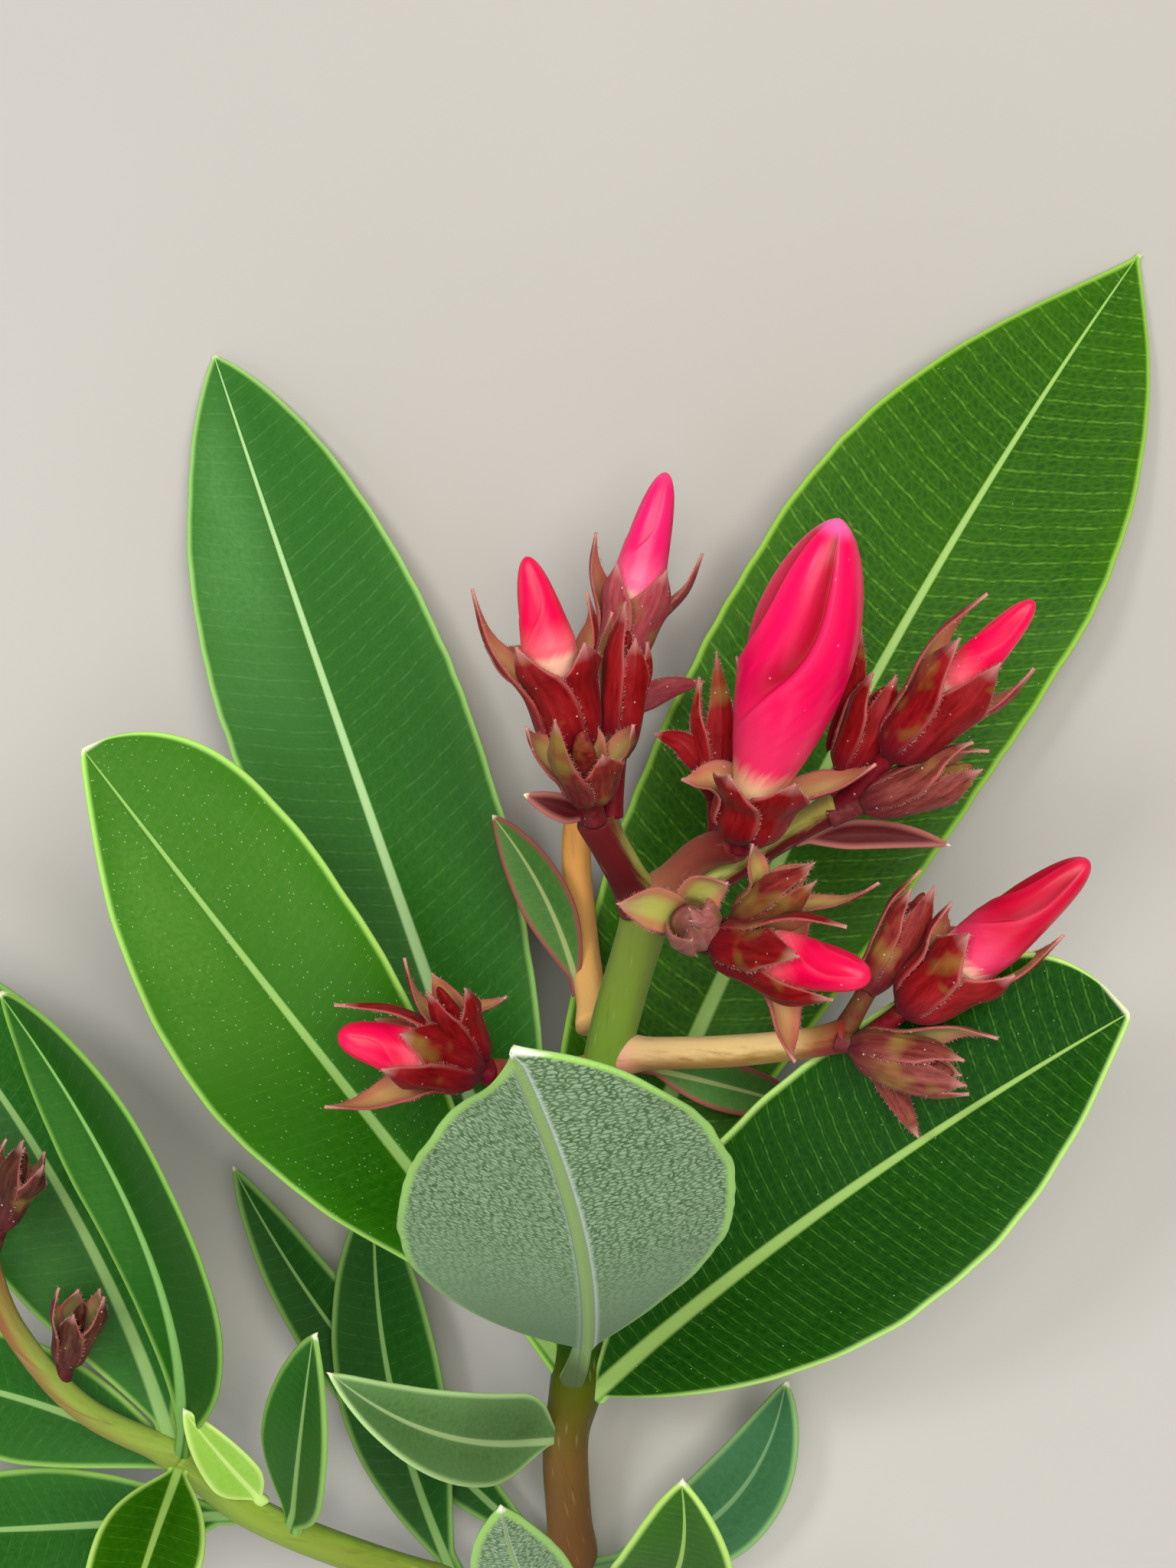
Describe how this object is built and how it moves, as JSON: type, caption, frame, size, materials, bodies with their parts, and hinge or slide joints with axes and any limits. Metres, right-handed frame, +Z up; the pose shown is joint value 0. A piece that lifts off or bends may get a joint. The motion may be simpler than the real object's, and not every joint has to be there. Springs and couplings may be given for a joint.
{
  "type": "cut oleander shoot with flower buds",
  "caption": "Flowering oleander shoot, cut and laid down: a whorl of lance-shaped leaves round a branched cluster of rolled buds in red calyces.",
  "frame": {"origin": "centre of the shoot's box at the level of the surface that it lies on", "axes": "+Z up from that surface, +Y along the shoot from its cut end towards the leaf tips, +X to the right seen from above"},
  "size_m": [0.1166, 0.1248, 0.0801],
  "materials": {
    "stem": "matt, fine down",
    "stalk": "matt, fine down",
    "leaf": "satin, leathery",
    "leaf_underside": "matt, finely netted",
    "petal": "soft satin",
    "calyx": "matt, downy"
  },
  "bodies": {
    "root": {"back_bud_calyx": "calyx", "back_bud_petals": "petal", "back_stalk": "stalk", "big_bud_calyx": "calyx", "big_bud_petals": "petal", "bract_leaf_left": "leaf", "bract_leaf_right": "leaf", "bract_left": "leaf", "bract_right": "leaf", "front_bud_calyx": "calyx", "front_bud_petals": "petal", "front_calyx": "calyx", "front_calyx_upper": "calyx", "front_stalk": "stalk", "leaf_curled": "leaf", "leaf_front": "leaf_underside", "leaf_left_high": "leaf", "leaf_left_low": "leaf", "leaf_low_back": "leaf", "leaf_low_front": "leaf_underside", "leaf_low_left": "leaf", "leaf_low_right": "leaf", "leaf_low_side": "leaf", "leaf_right_high": "leaf", "leaf_right_low": "leaf", "left_bud_calyx": "calyx", "left_bud_petals": "petal", "left_calyx_back": "calyx", "left_calyx_front": "calyx", "left_side_bud_calyx": "calyx", "left_side_bud_petals": "petal", "left_side_calyx": "calyx", "left_side_stalk": "stalk", "left_stalk": "stalk", "main_stem": "stem", "middle_calyx": "calyx", "middle_stalk": "stalk", "right_bud_calyx": "calyx", "right_bud_petals": "petal", "right_calyx": "calyx", "right_calyx_long": "calyx", "right_side_bud_calyx": "calyx", "right_side_bud_petals": "petal", "right_side_calyx": "calyx", "right_side_calyx_low": "calyx", "right_side_stalk": "stalk", "right_stalk": "stalk", "side_leaf_back": "leaf", "side_leaf_edge": "leaf", "side_leaf_folded": "leaf", "side_leaf_front": "leaf", "side_leaf_left": "leaf", "side_leaf_low": "leaf", "side_leaf_young": "leaf", "side_shoot": "stem", "side_shoot_calyx": "calyx", "side_shoot_end": "stalk", "side_shoot_end_calyx": "calyx"}
  },
  "joints": []
}
